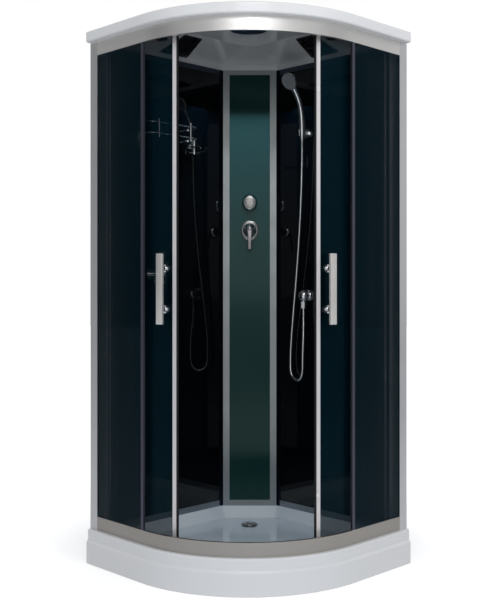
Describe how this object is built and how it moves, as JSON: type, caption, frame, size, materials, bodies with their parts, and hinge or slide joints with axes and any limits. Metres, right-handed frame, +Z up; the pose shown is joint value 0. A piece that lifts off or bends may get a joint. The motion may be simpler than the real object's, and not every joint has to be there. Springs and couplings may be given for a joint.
{
  "type": "steam shower cabin",
  "caption": "Corner shower cabin: low tray, curved front with sliding glass doors, vented roof, mixer, hand shower on a hose, shelf and tumbler.",
  "frame": {"origin": "centre of the bounding box at the floor", "axes": "+Z up, the curved front with the doors faces -Y, the room corner is at +Y, X to the right"},
  "size_m": [1.2636, 1.0387, 2.15],
  "materials": {
    "acrylic_white": "gloss",
    "frame_silver": "satin",
    "frame_grey": "satin",
    "chrome": "polished",
    "steel": "brushed",
    "brass": "plain",
    "clear_glass": "clear",
    "tinted_glass": "tinted",
    "wall_glass": "back-coated",
    "green_glass": "back-coated",
    "black_rubber": "matte",
    "black_plastic": "matte",
    "grey_plastic": "matte",
    "white_plastic": "matte",
    "nozzle_blue": "gloss",
    "fan_plastic": "matte"
  },
  "bodies": {
    "cabin": {"bottom_rail": "frame_silver", "corner_posts": "frame_silver", "diverter_valve": "brass", "drain_flange": "steel", "drain_trap": "grey_plastic", "fan_housing": "fan_plastic", "fixed_edge_strips": "frame_silver", "foot_lock_nuts": "steel", "hose": "chrome", "left_fixed_glass": "tinted_glass", "left_vent_panel": "black_plastic", "left_wall_glass": "wall_glass", "levelling_feet": "steel", "mixer_escutcheon": "chrome", "mixer_valve": "brass", "outlet_hose_nut": "chrome", "overhead_shower": "chrome", "overhead_shower_face": "nozzle_blue", "pillar_frame": "frame_silver", "pillar_panel": "green_glass", "right_fixed_glass": "tinted_glass", "right_vent_panel": "black_plastic", "right_wall_glass": "wall_glass", "roof": "acrylic_white", "shelf_brackets": "chrome", "shelf_gallery": "chrome", "shelf_glass": "clear_glass", "shower_wall_bracket": "chrome", "speaker": "fan_plastic", "supply_pipes": "white_plastic", "top_rail": "frame_silver", "tray": "acrylic_white", "tray_frame": "steel", "tumbler_holder": "chrome", "wall_frames": "frame_grey", "wall_outlet": "chrome"},
    "right_door": {"right_door_glass": "tinted_glass", "right_door_edge_profiles": "frame_silver", "right_door_magnet_seal": "black_rubber", "right_door_handle": "chrome", "right_door_hangers": "black_plastic"},
    "left_door": {"left_door_glass": "tinted_glass", "left_door_edge_profiles": "frame_silver", "left_door_magnet_seal": "black_rubber", "left_door_handle": "chrome", "left_door_hangers": "black_plastic"},
    "right_front_roller": {"right_door_front_wheel": "grey_plastic"},
    "right_rear_roller": {"right_door_rear_wheel": "grey_plastic"},
    "left_front_roller": {"left_door_front_wheel": "grey_plastic"},
    "left_rear_roller": {"left_door_rear_wheel": "grey_plastic"},
    "cartridge": {"mixer_cartridge": "brass"},
    "lever": {"mixer_lever": "chrome"},
    "knob": {"diverter_knob": "chrome"},
    "cradle": {"handset_cradle": "chrome"},
    "handset": {"handset_body": "chrome", "handset_face": "grey_plastic", "handset_hose_nut": "chrome"},
    "drain_lid": {"drain_cover": "chrome"},
    "rotor": {"fan_rotor": "grey_plastic"},
    "cup": {"tumbler": "clear_glass"}
  },
  "joints": [
    {"name": "right_door_travel", "type": "hinge", "parent": "cabin", "child": "right_door", "pos_m": [-0.12276, 0.31032, 1.077], "axis": [0, 0, -1], "range_deg": [0, 19.02]},
    {"name": "right_front_roller_turn", "type": "hinge", "parent": "right_door", "child": "right_front_roller", "pos_m": [0.31295, -0.35414, 2.0023], "axis": [0.4603, -0.8878, 0], "range_deg": [0, 1368]},
    {"name": "right_rear_roller_turn", "type": "hinge", "parent": "right_door", "child": "right_rear_roller", "pos_m": [0.52202, -0.1485, 2.0023], "axis": [0.8801, -0.4749, 0], "range_deg": [0, 1360]},
    {"name": "left_door_travel", "type": "hinge", "parent": "cabin", "child": "left_door", "pos_m": [0.13882, 0.33552, 1.077], "axis": [0, 0, 1], "range_deg": [0, 19.25]},
    {"name": "left_front_roller_turn", "type": "hinge", "parent": "left_door", "child": "left_front_roller", "pos_m": [-0.32295, -0.34574, 2.0023], "axis": [0.4637, 0.886, 0], "range_deg": [0, 1432]},
    {"name": "left_rear_roller_turn", "type": "hinge", "parent": "left_door", "child": "left_rear_roller", "pos_m": [-0.53121, -0.13928, 2.0023], "axis": [0.8819, 0.4714, 0], "range_deg": [0, 1427]},
    {"name": "mixer_turn", "type": "hinge", "parent": "cabin", "child": "cartridge", "pos_m": [0, 0.34138, 1.319], "axis": [0, -1, 0], "range_deg": [-45, 45]},
    {"name": "mixer_lift", "type": "hinge", "parent": "cartridge", "child": "lever", "pos_m": [0, 0.34138, 1.319], "axis": [-1, 0, 0], "range_deg": [0, 25]},
    {"name": "diverter_turn", "type": "hinge", "parent": "cabin", "child": "knob", "pos_m": [0, 0.36538, 1.441], "axis": [0, -1, 0], "range_deg": [-45, 45]},
    {"name": "cradle_tilt", "type": "hinge", "parent": "cabin", "child": "cradle", "pos_m": [0.23794, 0.2361, 1.726], "axis": [0.7071, -0.7071, 0], "range_deg": [-5, 20]},
    {"name": "handset_lift", "type": "slide", "parent": "cradle", "child": "handset", "axis": [0, 0, 1], "range_m": [0, 0.06], "deforming": ["hose"]},
    {"name": "drain_cover_lift", "type": "slide", "parent": "cabin", "child": "drain_lid", "axis": [0, 0, 1], "range_m": [0, 0.05]},
    {"name": "tumbler_lift", "type": "slide", "parent": "cabin", "child": "cup", "axis": [0, 0, 1], "range_m": [0, 0.06]},
    {"name": "fan_spin", "type": "hinge", "parent": "cabin", "child": "rotor", "pos_m": [0.25102, 0.05897, 2.101], "axis": [0, 0, 1], "continuous": true}
  ],
  "couplings": [
    {"joint": "right_front_roller_turn", "follows": "right_door_travel", "ratio": 71.858},
    {"joint": "right_rear_roller_turn", "follows": "right_door_travel", "ratio": 71.393},
    {"joint": "left_front_roller_turn", "follows": "left_door_travel", "ratio": 74.338},
    {"joint": "left_rear_roller_turn", "follows": "left_door_travel", "ratio": 74.068}
  ]
}
